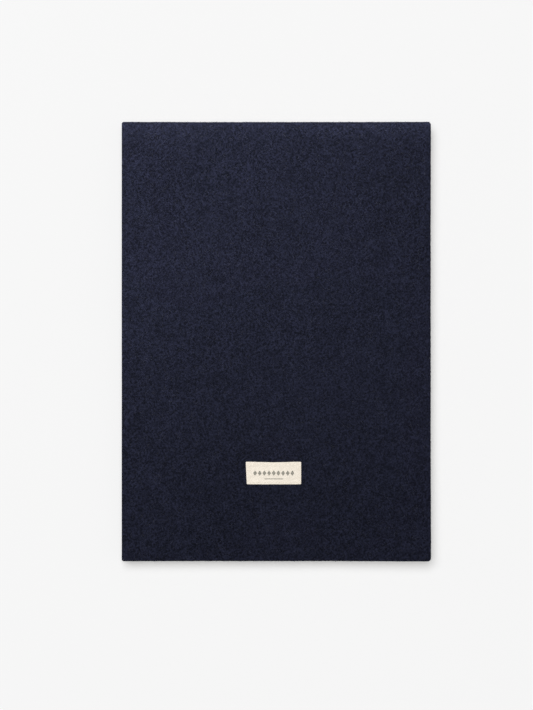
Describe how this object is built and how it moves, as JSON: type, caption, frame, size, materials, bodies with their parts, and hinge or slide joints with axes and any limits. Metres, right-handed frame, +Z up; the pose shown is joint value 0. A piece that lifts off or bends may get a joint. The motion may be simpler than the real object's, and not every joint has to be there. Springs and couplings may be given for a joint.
{
  "type": "pilot logbook",
  "caption": "Hardback pilot logbook covered in navy wool felt, with a stitched cotton label, sewn sections on tapes and a cover that opens flat.",
  "frame": {"origin": "on the surface the book lies on, under the middle of its closed cover", "axes": "+X from the spine to the fore-edge, +Y to the head, +Z up out of the front cover"},
  "size_m": [0.214, 0.304, 0.0149],
  "materials": {
    "felt": "navy milled wool felt, matt, with a fine short nap",
    "greyboard": "dense grey bookbinding board",
    "card": "smooth cream card",
    "leaf_paper": "uncoated cream writing paper with printed rules",
    "endpaper": "heavier plain endpaper",
    "linen_tape": "unbleached plain-weave linen tape",
    "sewing_thread": "waxed linen thread",
    "label_cotton": "cream cotton twill, printed in dark grey",
    "label_thread": "cream polyester sewing thread"
  },
  "bodies": {
    "back_cover": {"back_board": "greyboard", "back_cover_cloth": "felt", "back_infill": "card", "back_endpaper": "endpaper", "back_tapes": "linen_tape", "back_sewing": "sewing_thread", "section_1": "leaf_paper"},
    "spine": {"spine_board": "greyboard", "spine_cover_cloth": "felt", "spine_lining": "endpaper"},
    "front_cover": {"front_board": "greyboard", "front_cover_cloth": "felt", "front_infill": "card", "front_lining": "endpaper", "label": "label_cotton", "label_stitching": "label_thread"},
    "quire_2": {"section_2": "leaf_paper"},
    "quire_3": {"section_3": "leaf_paper"},
    "quire_4": {"section_4": "leaf_paper"},
    "quire_5": {"section_5": "leaf_paper"},
    "quire_6": {"section_6": "leaf_paper"},
    "quire_7": {"section_7": "leaf_paper"},
    "quire_8": {"section_8": "leaf_paper", "front_endpaper": "endpaper", "front_tapes": "linen_tape", "front_sewing": "sewing_thread"}
  },
  "joints": [
    {"name": "spine_hinge", "type": "hinge", "parent": "back_cover", "child": "spine", "pos_m": [-0.106, 0, 0.001], "axis": [0, -1, 0], "range_deg": [0, 90]},
    {"name": "front_hinge", "type": "hinge", "parent": "spine", "child": "front_cover", "pos_m": [-0.106, 0, 0.01297], "axis": [0, -1, 0], "range_deg": [0, 90]},
    {"name": "fold_2", "type": "hinge", "parent": "back_cover", "child": "quire_2", "pos_m": [-0.1033, 0, 0.00447], "axis": [0, -1, 0], "range_deg": [0, 0.4]},
    {"name": "fold_3", "type": "hinge", "parent": "quire_2", "child": "quire_3", "pos_m": [-0.1033, 0, 0.00521], "axis": [0, -1, 0], "range_deg": [0, 0.4]},
    {"name": "fold_4", "type": "hinge", "parent": "quire_3", "child": "quire_4", "pos_m": [-0.1033, 0, 0.00594], "axis": [0, -1, 0], "range_deg": [0, 0.4]},
    {"name": "fold_5", "type": "hinge", "parent": "quire_4", "child": "quire_5", "pos_m": [-0.1033, 0, 0.00698], "axis": [0, -1, 0], "range_deg": [0, 177.6]},
    {"name": "fold_6", "type": "hinge", "parent": "quire_5", "child": "quire_6", "pos_m": [-0.1033, 0, 0.00743], "axis": [0, -1, 0], "range_deg": [0, 0.4]},
    {"name": "fold_7", "type": "hinge", "parent": "quire_6", "child": "quire_7", "pos_m": [-0.1033, 0, 0.00817], "axis": [0, -1, 0], "range_deg": [0, 0.4]},
    {"name": "fold_8", "type": "hinge", "parent": "quire_7", "child": "quire_8", "pos_m": [-0.1033, 0, 0.0089], "axis": [0, -1, 0], "range_deg": [0, 0.4]}
  ],
  "couplings": [
    {"joint": "front_hinge", "follows": "spine_hinge", "ratio": 1},
    {"joint": "fold_2", "follows": "spine_hinge", "ratio": 0.0044444},
    {"joint": "fold_3", "follows": "spine_hinge", "ratio": 0.0044444},
    {"joint": "fold_4", "follows": "spine_hinge", "ratio": 0.0044444},
    {"joint": "fold_5", "follows": "spine_hinge", "ratio": 1.9733},
    {"joint": "fold_6", "follows": "spine_hinge", "ratio": 0.0044444},
    {"joint": "fold_7", "follows": "spine_hinge", "ratio": 0.0044444},
    {"joint": "fold_8", "follows": "spine_hinge", "ratio": 0.0044444}
  ]
}
